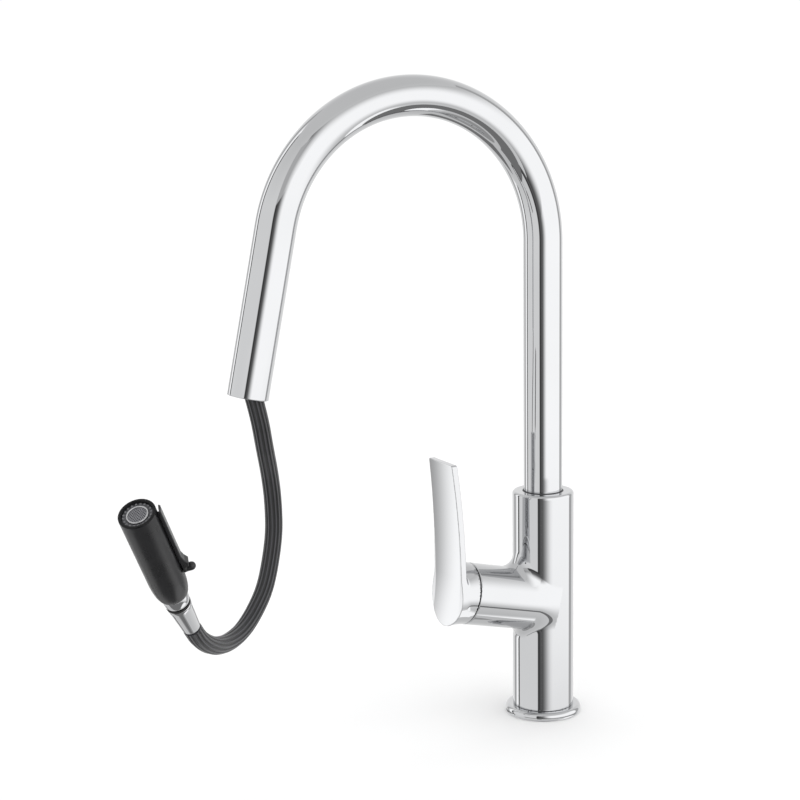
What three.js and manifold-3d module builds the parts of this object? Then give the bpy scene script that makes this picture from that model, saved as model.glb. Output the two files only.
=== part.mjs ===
// Pull-down kitchen faucet with its spray head drawn out on the hose.
// Millimetres, +Z up. The origin is the centre of the base where it stands on the worktop.
// The spout and the handle point towards -Y.
import * as THREE from 'three';
import { mergeVertices } from 'three/addons/utils/BufferGeometryUtils.js';
import Module from 'manifold-3d';

const wasm = await Module();
wasm.setup();

const vec = (x, y, z) => new THREE.Vector3(x, y, z);
const UP = vec(0, 0, 1);
const SIDE = vec(1, 0, 0);
const GAP = 0.3; // between pieces that touch or turn on each other

// Base and body
const FLANGE_R = 27.8;
const FLANGE_TOP = 5.9;
const FLANGE_HOLE_R = 16.5;
const GASKET_TOP = 2;
const BODY_R = 22.3;
const BODY_BOTTOM = FLANGE_TOP + GAP;
const BODY_TOP = 167.4;
const SUPPLY_CAVITY_R = 17.5;
const SUPPLY_CAVITY_TOP = 46;
const HOSE_BORE_R = 7.5;
const SPOUT_BORE_R = 15.6;
const BODY_LIP = 1.8; // depth of the lip that holds the slide ring down
const SPOUT_BORE_BOTTOM = 118;
const RETAINING_SCREW_Z = 129.2;

// Handle stub: a short cylinder that leaves the body forwards and upwards
const STUB_TILT = THREE.MathUtils.degToRad(13.1);
const STUB_AXIS = vec(0, -Math.cos(STUB_TILT), Math.sin(STUB_TILT));
const STUB_Z = 84; // where its axis crosses the body's axis
const STUB_R = 22.3;
const STUB_END = 67; // distances along the stub axis from the body's axis
const STUB_BORE_R = 17.8;
const STUB_SEAT = 30;
const PIVOT = 61.2; // the handle tilts about this point of the stub axis

// Handle
const HUB_START = 67.1;
const HUB_SPHERE_R = 23.25; // the hub is hollowed to this radius about the pivot, so that it can tilt
const HUB_FLOOR = 77.5;
const HUB_SAG = 0.0117; // drop of the hub per square of its run, towards its face
const HUB_FLARE = 0.03; // growth of the hub's radius per run
const HANDLE_TOP = 198;
const HANDLE_NECK_Z = 112;
const HANDLE_NECK_W = 40.6;
const HANDLE_TOP_W = 34;
const HANDLE_THICK = 5.1;
const HANDLE_FACE_Y = -79.8; // deepest line of the hollow front face
const HANDLE_FACE_Z = 115;
const STEM_HALF = 3.8;

// Spout
const TUBE_R = 14;
const LIP_R = TUBE_R + 1; // the body's lip round the tube
const TUBE_BORE_R = 12.6;
const TUBE_BOTTOM = 139;
const ARCH_Z = 349.2;
const ARCH_R = 103.9;
const ARCH_SWEEP = THREE.MathUtils.degToRad(168.2);
const TAIL_LENGTH = 115;
const TAIL_DIR = vec(0, -Math.sin(ARCH_SWEEP), Math.cos(ARCH_SWEEP));

// Hose, hose nut and spray head
const HOSE_R = 5.85;
const FREE_ROUTE = [
  vec(0.8, -230.2, 275.5), vec(3.6, -226.4, 258.5), vec(3.2, -222.2, 241), vec(-2.4, -217.2, 223.5),
  vec(-14.4, -208.8, 200), vec(-20.9, -204.3, 179.5), vec(-21.8, -203.9, 158.5), vec(-18.8, -208.3, 138.5),
  vec(-11.8, -216.4, 121.5), vec(-2.3, -228.5, 109), vec(9.2, -242.2, 101.5), vec(21.1, -256.3, 99.5),
  vec(32.5, -269, 102.1), vec(41.9, -279.6, 107.8), vec(49.3, -288.1, 115.4), vec(55.3, -294.7, 124.5),
];
const HOSE_END = FREE_ROUTE[FREE_ROUTE.length - 1];
const INNER_END_Z = 31; // the inner run ends here, in the base
const NUT_AXIS = vec(0.4, -0.466, 0.789).normalize();
const HEAD_AXIS = vec(0.402, -0.422, 0.8125).normalize();
const NUT_START = 1.1; // distances along the nut from the hose's end
const NUT_TOP = 25.6;
const SWIVEL = 29.1;
const SWIVEL_BALL_R = 4.6;
const SWIVEL_AT = HOSE_END.clone().addScaledVector(NUT_AXIS, SWIVEL);
const TOGGLE_TURN = THREE.MathUtils.degToRad(-64); // where the toggle sits round the head
const HEAD_R = 11.8;
const HEAD_BORE_R = 9.9;
const SHELL_START = 6.4; // distances along the head from the swivel's centre
const SHELL_END = 83.2;
const DOME_END = 24.5;
const FACE_TOP = SHELL_END - 1.1; // the face is sunk inside the shell's rim
const FACE_RING_R = 6.95;
const TOGGLE_PIN_Z = 75.9;
const TOGGLE_PIN_X = 7.2;
const NOZZLES = 20;
const NOZZLE_CIRCLE = 8.7;

// ---------- shape helpers ----------

function signedVolume(position, index) {
  const a = vec(0, 0, 0);
  const b = vec(0, 0, 0);
  const c = vec(0, 0, 0);
  let sum = 0;
  for (let i = 0; i < index.length; i += 3) {
    a.fromBufferAttribute(position, index[i]);
    b.fromBufferAttribute(position, index[i + 1]);
    c.fromBufferAttribute(position, index[i + 2]);
    sum += a.dot(b.cross(c));
  }
  return sum / 6;
}

// One closed mesh with shared vertices, faces outwards and nothing but positions
function weld(geometry) {
  geometry.deleteAttribute('normal');
  geometry.deleteAttribute('uv');
  const merged = mergeVertices(geometry, 1e-3);
  const old = merged.index.array;
  const index = [];
  for (let i = 0; i < old.length; i += 3) {
    const [a, b, c] = [old[i], old[i + 1], old[i + 2]];
    if (a !== b && b !== c && c !== a) index.push(a, b, c);
  }
  if (signedVolume(merged.attributes.position, index) < 0) index.reverse();
  merged.setIndex(index);
  return merged;
}

function toManifold(geometry) {
  const welded = weld(geometry);
  return new wasm.Manifold(new wasm.Mesh({
    numProp: 3,
    vertProperties: new Float32Array(welded.attributes.position.array),
    triVerts: new Uint32Array(welded.index.array),
  }));
}

function fromManifold(manifold) {
  const { vertProperties, triVerts } = manifold.getMesh();
  const geometry = new THREE.BufferGeometry();
  geometry.setAttribute('position', new THREE.BufferAttribute(new Float32Array(vertProperties), 3));
  geometry.setIndex(new THREE.BufferAttribute(new Uint32Array(triVerts), 1));
  return geometry;
}

const join = (...parts) => fromManifold(parts.map(toManifold).reduce((all, one) => all.add(one)));
const cut = (base, ...tools) => {
  const start = toManifold(base);
  return fromManifold(tools.map(toManifold).reduce((left, tool) => left.subtract(tool), start));
};
const overlap = (a, b) => fromManifold(toManifold(a).intersect(toManifold(b)));

// Turned piece about +Z from [radius, height] points; a profile off the axis closes on itself
function turned(profile, segments = 32) {
  const points = profile.map(([r, z]) => new THREE.Vector2(r, z));
  const onAxis = profile[0][0] === 0 && profile[profile.length - 1][0] === 0;
  if (!onAxis) points.push(points[0].clone());
  return new THREE.LatheGeometry(points, segments).rotateX(Math.PI / 2);
}

const ring = (inner, outer, low, high, segments) =>
  turned([[inner, low], [outer, low], [outer, high], [inner, high]], segments);
const rod = (radius, low, high, segments = 24) =>
  turned([[0, low], [radius, low], [radius, high], [0, high]], segments);
const block = (sx, sy, sz, x, y, z) => new THREE.BoxGeometry(sx, sy, sz).translate(x, y, z);

// Points of a circular arc in a profile, from one angle to the other in degrees
function arc(cx, cy, radius, from, to, steps) {
  return Array.from({ length: steps + 1 }, (_, i) => {
    const angle = THREE.MathUtils.degToRad(from + ((to - from) * i) / steps);
    return [cx + radius * Math.cos(angle), cy + radius * Math.sin(angle)];
  });
}

// Moves a piece made about +Z so that its +Z lies along the given axis and its +X along xAxis
function along(geometry, origin, axis, xAxis = SIDE) {
  const x = xAxis.clone().addScaledVector(axis, -xAxis.dot(axis)).normalize();
  const y = axis.clone().cross(x);
  const place = new THREE.Matrix4().makeBasis(x, y, axis).setPosition(origin);
  return geometry.applyMatrix4(place);
}

const onStub = (geometry) => along(geometry, vec(0, 0, STUB_Z), STUB_AXIS);
const onNut = (geometry) => along(geometry, HOSE_END, NUT_AXIS);
const TOGGLE_SIDE = UP.clone().addScaledVector(HEAD_AXIS, -UP.dot(HEAD_AXIS)).normalize()
  .applyAxisAngle(HEAD_AXIS, TOGGLE_TURN);
const onHead = (geometry) => along(geometry, SWIVEL_AT, HEAD_AXIS, TOGGLE_SIDE);

// Tube or bar of a round section along a curve
function swept(curve, outer, inner, sides, steps) {
  const circle = (Path, radius) => new Path(
    Array.from({ length: sides }, (_, i) => new THREE.Vector2(
      radius * Math.cos((2 * Math.PI * i) / sides),
      radius * Math.sin((2 * Math.PI * i) / sides),
    )),
  );
  const shape = circle(THREE.Shape, outer);
  if (inner > 0) shape.holes.push(circle(THREE.Path, inner));
  return weld(new THREE.ExtrudeGeometry(shape, { steps, bevelEnabled: false, extrudePath: curve }));
}

// Centre line of the spout: straight leg, then the arch, at a distance from the leg's lower end
class SpoutLine extends THREE.Curve {
  constructor(bottom) {
    super();
    this.bottom = bottom;
    this.leg = ARCH_Z - bottom;
    this.total = this.leg + ARCH_R * ARCH_SWEEP;
  }

  getPoint(t, target = new THREE.Vector3()) {
    const run = t * this.total;
    if (run < this.leg) return target.set(0, 0, this.bottom + run);
    const angle = (run - this.leg) / ARCH_R;
    return target.set(0, -ARCH_R * (1 - Math.cos(angle)), ARCH_Z + ARCH_R * Math.sin(angle));
  }
}

const ARCH_END = new SpoutLine(TUBE_BOTTOM).getPoint(1);
const onTail = (geometry) => along(geometry, ARCH_END, TAIL_DIR);

// ---------- base and body ----------

function baseFlange() {
  const edge = 1.3;
  return turned([
    [FLANGE_HOLE_R, GASKET_TOP + GAP],
    [25.5, GASKET_TOP + GAP],
    [25.5, GAP],
    [FLANGE_R - 0.4, GAP],
    [FLANGE_R, GAP + 0.4],
    ...arc(FLANGE_R - edge, FLANGE_TOP - edge, edge, 0, 90, 3),
    [FLANGE_HOLE_R, FLANGE_TOP],
  ], 40);
}

// Water way from the cartridge seat down to the supply cavity
function supplyPassage(x) {
  const top = vec(x, -27, 90);
  const bottom = vec(x, -8, SUPPLY_CAVITY_TOP - 2);
  const axis = top.clone().sub(bottom);
  return along(rod(2.5, 0, axis.length(), 12), bottom, axis.normalize());
}

function bodyHousing() {
  const upright = turned([
    [0, BODY_BOTTOM],
    [BODY_R, BODY_BOTTOM],
    ...arc(BODY_R - 2, BODY_TOP - 2, 2, 0, 90, 3),
    [0, BODY_TOP],
  ], 40);
  const stub = onStub(rod(STUB_R, 0, STUB_END, 40));
  const screwHole = along(rod(2.3, 10, BODY_R + 2, 16), vec(0, 0, RETAINING_SCREW_Z), vec(0, 1, 0));
  return cut(
    join(upright, stub),
    rod(SUPPLY_CAVITY_R, 0, SUPPLY_CAVITY_TOP, 32),
    rod(HOSE_BORE_R, SUPPLY_CAVITY_TOP - 1, SPOUT_BORE_BOTTOM + 1),
    rod(SPOUT_BORE_R, SPOUT_BORE_BOTTOM, BODY_TOP - BODY_LIP, 32),
    rod(LIP_R, BODY_TOP - BODY_LIP - 1, BODY_TOP + 1, 32),
    onStub(rod(STUB_BORE_R, STUB_SEAT, STUB_END + 1, 32)),
    supplyPassage(-7),
    supplyPassage(7),
    screwHole,
  );
}

// Hexagonal fitting that a supply hose screws into from below
function supplyConnector(x) {
  const top = SUPPLY_CAVITY_TOP - GAP;
  const hex = rod(5, top - 9, top, 6);
  const nipple = ring(2.4, 3.8, top - 18, top - 8.9, 16);
  return cut(join(hex, nipple), rod(2.4, top - 30, top + 1, 12)).translate(x, -8.5, 0);
}

function hoseOutletConnector() {
  const top = INNER_END_Z - GAP;
  return join(rod(6.6, top - 10, top, 6), rod(5.2, top - 22, top - 9.9, 20));
}

function retainingScrew() {
  const screw = rod(1.9, 13.5, 21.4, 16);
  const socket = rod(1.1, 19, 23, 6);
  return along(cut(screw, socket), vec(0, 0, RETAINING_SCREW_Z), vec(0, 1, 0));
}

// ---------- cartridge, in the stub ----------

// Plate with the two inlet ports and the outlet port of the cartridge
function portPlate(radius, low, high, portR) {
  const ports = [[-7, -5.5], [7, -5.5], [0, 8]].map(([x, y]) =>
    rod(portR, low - 1, high + 1, 16).translate(x, y, 0));
  return onStub(cut(rod(radius, low, high, 32), ...ports));
}

const cartridgeHousing = () => onStub(turned([
  [13.2, 35.9], [17.4, 35.9], [17.4, 59.5], [9.3, 59.5], [9.3, 52.5], [13.2, 52.5],
], 32));

function cartridgeCarrier() {
  const turnedPart = turned([
    [0, 42.6], [12.8, 42.6], [12.8, 52.2], [8.9, 52.2], [8.9, 63.8], [0, 63.8],
  ], 32);
  const slot = block(2 * STEM_HALF + 0.8, 40, 30, 0, 0, 46 + 15);
  const pinHole = along(rod(1.4, -12, 12, 12), vec(0, 0, PIVOT), SIDE, UP);
  return onStub(cut(turnedPart, slot, pinHole));
}

const stemPin = () => onStub(along(rod(1.1, -7.5, 7.5, 12), vec(0, 0, PIVOT), SIDE, UP));

function cartridgeStem() {
  const side = 2 * STEM_HALF;
  const bar = block(side, side, 33, 0, 0, 46.6 + 16.5);
  const pinHole = along(rod(1.4, -12, 12, 12), vec(0, 0, PIVOT), SIDE, UP);
  return onStub(cut(bar, pinHole));
}

function cartridgeDome() {
  const radius = 22.2; // about the pivot, inside the hub's hollow
  const low = THREE.MathUtils.radToDeg(Math.asin((STUB_END + GAP - PIVOT) / radius));
  const high = THREE.MathUtils.radToDeg(Math.asin(8 / radius));
  const dome = arc(0, PIVOT, radius, low, high, 2);
  const well = 16.2; // sunk inside this radius, where the tilting set screw passes
  return onStub(turned([
    [9.8, 65.4], [STUB_BORE_R - GAP, 65.4], [STUB_BORE_R - GAP, STUB_END + GAP],
    ...dome, [well, dome[dome.length - 1][1]], [well, 67.2], [9.8, 67.2],
  ], 32));
}

// ---------- handle ----------

// Y of the hollow front face at a height: a shallow curve, deepest just above the hub
const faceY = (z) => HANDLE_FACE_Y - 0.00075 * (z - HANDLE_FACE_Z) ** 2 * (z < HANDLE_FACE_Z ? 3.8 : 1);

// Slab across the handle between two side curves, given as [y, z] points
function sideSlab(points) {
  const shape = new THREE.Shape(points.map(([y, z]) => new THREE.Vector2(y, z)));
  const slab = new THREE.ExtrudeGeometry(shape, { depth: 80, bevelEnabled: false });
  // the shape's x becomes the part's y, and its y the part's z
  const turn = new THREE.Matrix4().makeBasis(vec(0, 1, 0), UP, SIDE).setPosition(-40, 0, 0);
  return slab.applyMatrix4(turn);
}

function handleOutline() {
  const { mapLinear } = THREE.MathUtils;
  const half = (z) => mapLinear(z, HANDLE_NECK_Z, HANDLE_TOP, HANDLE_NECK_W, HANDLE_TOP_W) / 2;
  const corner = 1.5;
  const right = [
    [half(96), 96],
    ...arc(half(HANDLE_TOP) - corner, HANDLE_TOP - corner, corner, 0, 90, 3),
  ];
  const left = right.map(([x, z]) => [-x, z]).reverse();
  const shape = new THREE.Shape([...right, ...left].map(([x, z]) => new THREE.Vector2(x, z)));
  const plate = new THREE.ExtrudeGeometry(shape, { depth: 60, bevelEnabled: false });
  return plate.rotateX(Math.PI / 2).translate(0, -50, 0);
}

// The hub in the stub's frame: a cylinder whose far end sags, so that its foot is lower and fuller
function hubBody() {
  const runs = Array.from({ length: 9 }, (_, i) => 3 * i);
  const side = runs.map((run) => [STUB_R + HUB_FLARE * run, HUB_START + run]);
  const geometry = turned([[0, HUB_START], ...side, [0, side[side.length - 1][1]]], 40);
  const position = geometry.attributes.position;
  for (let i = 0; i < position.count; i += 1) {
    const run = position.getZ(i) - HUB_START;
    position.setY(i, position.getY(i) - HUB_SAG * run * run);
  }
  return geometry;
}

function leverHandle() {
  const heights = Array.from({ length: 15 }, (_, i) => 70 + 10 * i);
  const front = heights.map((z) => [faceY(z), z]);
  const back = heights.map((z) => [faceY(z) + HANDLE_THICK, z]).reverse();
  const paddle = overlap(handleOutline(), sideSlab([...front, ...back]));
  const behindFace = sideSlab([...front, [-40, heights[heights.length - 1]], [-40, heights[0]]]);
  const hub = overlap(onStub(hubBody()), behindFace);
  const reach = HUB_FLOOR - PIVOT;
  const edge = THREE.MathUtils.radToDeg(Math.asin(reach / HUB_SPHERE_R));
  const hollow = turned([
    [0, PIVOT - 5], ...arc(0, PIVOT, HUB_SPHERE_R, -12, edge, 10), [0, HUB_FLOOR],
  ], 40);
  const boss = onStub(rod(7, 72, HUB_FLOOR + 1, 24));
  const pocket = 2 * STEM_HALF + 2 * GAP;
  const socket = onStub(block(pocket, pocket, 20, 0, 0, 79.9 - 10));
  const screwHole = onStub(rod(2.8, -30, 0, 16).rotateX(-Math.PI / 2).translate(0, 0, 75));
  return cut(join(cut(join(paddle, hub), onStub(hollow)), boss), socket, screwHole);
}

// Pieces in the screw hole under the hub: made downwards from the stub axis
const underHub = (geometry) => onStub(geometry.rotateX(Math.PI / 2).translate(0, 0, 75));
const setScrew = () => underHub(cut(rod(2.4, 4.3, 10.4, 16), rod(1.2, 7.6, 11, 6)));
const screwPlug = () => underHub(rod(2.5, 20.6, 22.4, 16));

// ---------- spout ----------

// A split plastic ring, wide in the bore, whose thin collar stands a little proud of the body
function slideRing() {
  const shoulder = BODY_TOP - BODY_LIP - GAP;
  return turned([
    [TUBE_R + GAP, 150], [SPOUT_BORE_R - GAP, 150], [SPOUT_BORE_R - GAP, shoulder],
    [LIP_R - GAP, shoulder], [LIP_R - GAP, BODY_TOP + 0.45], [TUBE_R + GAP, BODY_TOP + 0.45],
  ], 32);
}

function spoutNipple() {
  const wide = SPOUT_BORE_R - 0.4;
  const groove = 13.2;
  return turned([
    [8, 120], [wide, 120], [wide, 122.4], [groove, 122.4], [groove, 125.1], [wide, 125.1],
    [wide, 127], [groove - 0.3, 127], [groove - 0.3, 131.4], [wide, 131.4],
    [wide, 133.4], [groove, 133.4], [groove, 136.1], [wide, 136.1], [wide, TUBE_BOTTOM - GAP],
    [TUBE_BORE_R - GAP, TUBE_BOTTOM - GAP], [TUBE_BORE_R - GAP, 152], [8, 152],
  ], 24);
}

const oRing = (z) => turned(arc(14.35, z, 0.95, 0, 300, 5), 24);
const spoutTube = () => swept(new SpoutLine(TUBE_BOTTOM), TUBE_R, TUBE_BORE_R, 20, 34);
const spoutTail = () => onTail(ring(TUBE_BORE_R, TUBE_R, GAP, TAIL_LENGTH, 20));
const dockingCollar = () => onTail(turned([
  [7.6, 8], [TUBE_BORE_R - GAP, 8], [TUBE_BORE_R - GAP, 17], [9.6, 17], [7.6, 14],
], 24));

// ---------- hose ----------

const freeHose = () => swept(new THREE.CatmullRomCurve3(FREE_ROUTE, false, 'catmullrom'), HOSE_R, 0, 10, 30);

// From the drawn-out hose's inner end, up the tail, over the arch and down the leg into the base
function innerHose() {
  const lean = FREE_ROUTE[0].clone().sub(FREE_ROUTE[1]).normalize();
  const start = FREE_ROUTE[0].clone().addScaledVector(lean, 3.2);
  const outwards = TAIL_DIR.clone().cross(SIDE);
  const tail = [[80, 5.4], [50, 3], [18, 0.5]].map(([run, offset]) =>
    ARCH_END.clone().addScaledVector(TAIL_DIR, run).addScaledVector(outwards, offset));
  const arch = [];
  for (let i = 0; i <= 12; i += 1) {
    const angle = ARCH_SWEEP * (1 - i / 12);
    arch.push(vec(0, -ARCH_R * (1 - Math.cos(angle)), ARCH_Z + ARCH_R * Math.sin(angle)));
  }
  const leg = [300, 240, 180, 120, 60, INNER_END_Z].map((z) => vec(0, 0, z));
  const route = new THREE.CatmullRomCurve3([start, ...tail, ...arch, ...leg]);
  return swept(route, HOSE_R, 0, 8, 48);
}

function hoseNut() {
  return onNut(turned([
    [0, NUT_START], [5.9, NUT_START], [6.1, NUT_START + 0.8], [7.8, NUT_TOP - 2.6],
    [7.9, NUT_TOP - 0.4], [7.5, NUT_TOP],
    ...arc(0, SWIVEL, SWIVEL_BALL_R, -50, 90, 7).slice(0, -1), [0, SWIVEL + SWIVEL_BALL_R],
  ], 28));
}

const nutRing = () => onNut(ring(5.2, 8.1, NUT_TOP + GAP, NUT_TOP + 1.9, 32));

// ---------- spray head ----------

const neckCollar = () => onHead(turned([
  [5, -0.6], [8, -0.6], [8.2, 0], [8.3, SHELL_START - GAP], [5, SHELL_START - GAP],
], 32));

function headShell() {
  const side = DOME_END - SHELL_START;
  const dome = [0, 0.12, 0.28, 0.48, 0.72, 1].map((t) =>
    [8.2 + (HEAD_R - 8.2) * Math.sqrt(1 - (1 - t) ** 2), SHELL_START + side * t]);
  const skin = turned([
    [5.2, SHELL_START], ...dome, [HEAD_R, SHELL_END - 0.5], [HEAD_R - 0.5, SHELL_END],
    [HEAD_BORE_R, SHELL_END], [HEAD_BORE_R, 27.5], [6.6, 9.5], [5.2, 9.5],
  ], 32);
  const slot = block(6, 5, 8, 11, 0, TOGGLE_PIN_Z);
  return onHead(cut(skin, slot));
}

function waterwayCore() {
  const outside = turned([
    [2.6, 9.9], [4.8, 9.9], [4.8, 27.5], [9.5, 31.5], [9.5, 69.4], [2.6, 69.4],
  ], 28);
  return onHead(outside);
}

const checkValve = () => onHead(turned([
  [0, 10.5], [2.3, 10.5], [2.3, 17.5], [1.2, 20], [0, 20.5],
], 16));

// Carries the toggle's pin on two ears, between the core and the face
function pinCarrier() {
  const disc = rod(9.5, 69.8, 72.1, 28);
  const ears = [-3.2, 3.2].map((y) => block(3.4, 1.6, 7.4, 7, y, 75.4));
  const holes = along(rod(1.2, -6, 6, 12), vec(TOGGLE_PIN_X, 0, TOGGLE_PIN_Z), vec(0, 1, 0));
  return onHead(cut(join(disc, ...ears), holes, rod(2.6, 60, 80, 16)));
}

const togglePin = () => onHead(along(
  rod(1, -3.9, 3.9, 12), vec(TOGGLE_PIN_X, 0, TOGGLE_PIN_Z), vec(0, 1, 0),
));

function toggleLever() {
  const inner = HEAD_R + 0.35;
  const outline = [
    [inner, TOGGLE_PIN_Z + 1], [inner + 1, SHELL_END - 0.8], [14.4, SHELL_END - 1.4], [14.4, 39.4],
    [15.4, 35.4], [17.1, 32.4], [16.8, 30.4], [13.9, 29.2], [13.9, 25.6], [inner, 25.4],
  ];
  const shape = new THREE.Shape(outline.map(([x, z]) => new THREE.Vector2(x, z)));
  const strip = new THREE.ExtrudeGeometry(shape, { depth: 6.4, bevelEnabled: false })
    .translate(0, 0, -3.2).rotateX(Math.PI / 2);
  const knob = along(
    turned([[0, 0], [2.7, 0], ...arc(0, 4.6, 2.7, 0, 90, 5).slice(0, -1), [0, 7.3]], 20),
    vec(12.8, 0, 26.8), SIDE, UP,
  );
  const boss = block(7.2, 3.6, 4.4, 9, 0, TOGGLE_PIN_Z);
  const hole = along(rod(1.2, -6, 6, 12), vec(TOGGLE_PIN_X, 0, TOGGLE_PIN_Z), vec(0, 1, 0));
  return onHead(cut(join(strip, knob, boss), hole));
}

function nozzlePlate() {
  const plate = ring(FACE_RING_R + 0.2, HEAD_BORE_R - GAP, FACE_TOP - 2.7, FACE_TOP - 0.8, 28);
  const nubs = Array.from({ length: NOZZLES }, (_, i) => {
    const angle = (2 * Math.PI * i) / NOZZLES;
    return rod(0.6, FACE_TOP - 1.5, FACE_TOP - 0.2, 8)
      .translate(NOZZLE_CIRCLE * Math.cos(angle), NOZZLE_CIRCLE * Math.sin(angle), 0);
  });
  return onHead(join(plate, ...nubs));
}

const aeratorRing = () => onHead(ring(FACE_RING_R - 1.05, FACE_RING_R, FACE_TOP - 2.7, FACE_TOP, 32));

function aeratorInsert() {
  const disc = rod(FACE_RING_R - 1.35, FACE_TOP - 2.7, FACE_TOP - 1, 28);
  const grooves = [-3.3, -1.1, 1.1, 3.3].flatMap((p) => [
    block(0.7, 13, 1, p, 0, FACE_TOP - 1),
    block(13, 0.7, 1, 0, p, FACE_TOP - 1),
  ]);
  return onHead(cut(disc, ...grooves));
}

// ---------- assembly ----------

const CHROME = { color: 0xdcdee0, roughness: 0.08, metalness: 1 };
const BRASS = { color: 0xb5924c, roughness: 0.35, metalness: 1 };
const STEEL = { color: 0xa9abad, roughness: 0.35, metalness: 1 };
const BLACK = { color: 0x232326, roughness: 0.5, metalness: 0 };
const WHITE = { color: 0xe6e6e2, roughness: 0.45, metalness: 0 };
const RUBBER = { color: 0x141414, roughness: 0.85, metalness: 0 };
const CERAMIC = { color: 0xf1efe8, roughness: 0.15, metalness: 0 };
const BRAID = { color: 0x3a3a3e, roughness: 0.7, metalness: 0 };
const GREY = { color: 0x77777c, roughness: 0.5, metalness: 0 };

const PARTS = [
  ['base_gasket', () => ring(17, 25.2, 0, GASKET_TOP, 32), RUBBER],
  ['base_flange', baseFlange, CHROME],
  ['body_housing', bodyHousing, CHROME],
  ['inlet_connector_hot', () => supplyConnector(-8.5), BRASS],
  ['inlet_connector_cold', () => supplyConnector(8.5), BRASS],
  ['hose_outlet_connector', hoseOutletConnector, BRASS],
  ['spout_slide_ring', slideRing, BLACK],
  ['spout_retaining_screw', retainingScrew, STEEL],
  ['cartridge_base_seal', () => portPlate(15.5, 30.3, 31.3, 3), RUBBER],
  ['cartridge_base', () => portPlate(17.4, 31.6, 35.6, 2.4), WHITE],
  ['ceramic_disc_fixed', () => portPlate(12.6, 36.2, 39.2, 2.2), CERAMIC],
  ['cartridge_housing', cartridgeHousing, WHITE],
  ['cartridge_nut', () => onStub(ring(10.6, STUB_BORE_R - GAP, 59.8, 65, 32)), BRASS],
  ['cartridge_dome', cartridgeDome, BLACK],
  ['ceramic_disc_moving', () => onStub(rod(10.6, 39.5, 42.3, 28)), CERAMIC],
  ['cartridge_carrier', cartridgeCarrier, WHITE],
  ['stem_pivot_pin', stemPin, STEEL],
  ['cartridge_stem', cartridgeStem, BRASS],
  ['lever_handle', leverHandle, CHROME],
  ['handle_set_screw', setScrew, STEEL],
  ['handle_screw_plug', screwPlug, GREY],
  ['spout_nipple', spoutNipple, BRASS],
  ['spout_o_ring_lower', () => oRing(123.75), RUBBER],
  ['spout_o_ring_upper', () => oRing(134.75), RUBBER],
  ['spout_tube', spoutTube, CHROME],
  ['spout_tail', spoutTail, CHROME],
  ['docking_collar', dockingCollar, BLACK],
  ['hose_inner_run', innerHose, BRAID],
  ['hose_free_run', freeHose, BRAID],
  ['hose_nut', hoseNut, CHROME],
  ['hose_nut_ring', nutRing, RUBBER],
  ['neck_collar', neckCollar, CHROME],
  ['head_shell', headShell, BLACK],
  ['waterway_core', waterwayCore, GREY],
  ['check_valve', checkValve, WHITE],
  ['toggle_pin_carrier', pinCarrier, GREY],
  ['toggle_pin', togglePin, STEEL],
  ['toggle_lever', toggleLever, BLACK],
  ['nozzle_plate', nozzlePlate, BLACK],
  ['aerator_ring', aeratorRing, STEEL],
  ['aerator_insert', aeratorInsert, GREY],
];

const faucet = new THREE.Group();
for (const [name, shape, finish] of PARTS) {
  const mesh = new THREE.Mesh(weld(shape()), new THREE.MeshStandardMaterial(finish));
  mesh.name = name;
  faucet.add(mesh);
}

export default faucet;
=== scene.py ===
"""Pull-down kitchen faucet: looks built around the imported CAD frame. Shapes below are in millimetres."""

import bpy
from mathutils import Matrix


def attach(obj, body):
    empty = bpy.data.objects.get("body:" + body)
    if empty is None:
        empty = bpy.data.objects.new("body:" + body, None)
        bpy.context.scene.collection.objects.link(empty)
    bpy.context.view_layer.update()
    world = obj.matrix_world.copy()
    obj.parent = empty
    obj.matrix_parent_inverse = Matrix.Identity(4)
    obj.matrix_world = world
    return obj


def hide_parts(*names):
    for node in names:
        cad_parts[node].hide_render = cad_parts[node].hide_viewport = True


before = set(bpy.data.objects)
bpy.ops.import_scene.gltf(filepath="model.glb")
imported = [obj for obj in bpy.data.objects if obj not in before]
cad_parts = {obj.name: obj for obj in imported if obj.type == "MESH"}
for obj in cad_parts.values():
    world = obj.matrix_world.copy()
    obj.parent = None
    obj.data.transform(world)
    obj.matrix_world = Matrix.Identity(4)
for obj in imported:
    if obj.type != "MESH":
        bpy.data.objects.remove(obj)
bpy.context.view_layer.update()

import math

import bmesh
import bpy
import numpy as np
from mathutils import Matrix, Vector

MM = 0.001
TAU = 2 * math.pi
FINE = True

# ---------------------------------------------------------------- sizes shared with the CAD part
GAP = 0.3
FLANGE_R, FLANGE_TOP, FLANGE_HOLE_R, GASKET_TOP = 27.8, 5.9, 16.5, 2
BODY_R, BODY_TOP = 22.3, 167.4
SUPPLY_CAVITY_R, SUPPLY_CAVITY_TOP = 17.5, 46.0
HOSE_BORE_R = 7.5
SPOUT_BORE_R, SPOUT_BORE_BOTTOM, BODY_LIP = 15.6, 118.0, 1.8
RETAINING_SCREW_Z = 129.2
STUB_TILT = math.radians(13.1)
STUB_Z, STUB_R, STUB_END, STUB_BORE_R, STUB_SEAT = 84.0, 22.3, 67.0, 17.8, 30.0
PIVOT, HUB_START, HUB_SPHERE_R, HUB_FLOOR = 61.2, 67.1, 23.25, 77.5
HUB_SAG, HUB_FLARE = 0.0117, 0.03
HANDLE_TOP, HANDLE_NECK_Z, HANDLE_NECK_W, HANDLE_TOP_W, HANDLE_THICK = 198.0, 112.0, 40.6, 34.0, 5.1
HANDLE_FACE_Y, HANDLE_FACE_Z, STEM_HALF = -79.8, 115.0, 3.8
TUBE_R, TUBE_BORE_R, TUBE_BOTTOM = 14.0, 12.6, 139.0
ARCH_Z, ARCH_R, ARCH_SWEEP, TAIL_LENGTH = 349.2, 103.9, math.radians(168.2), 115.0
HOSE_R = 5.85
STRANDS = 14  # lengthwise strands round the hose's braid
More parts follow.
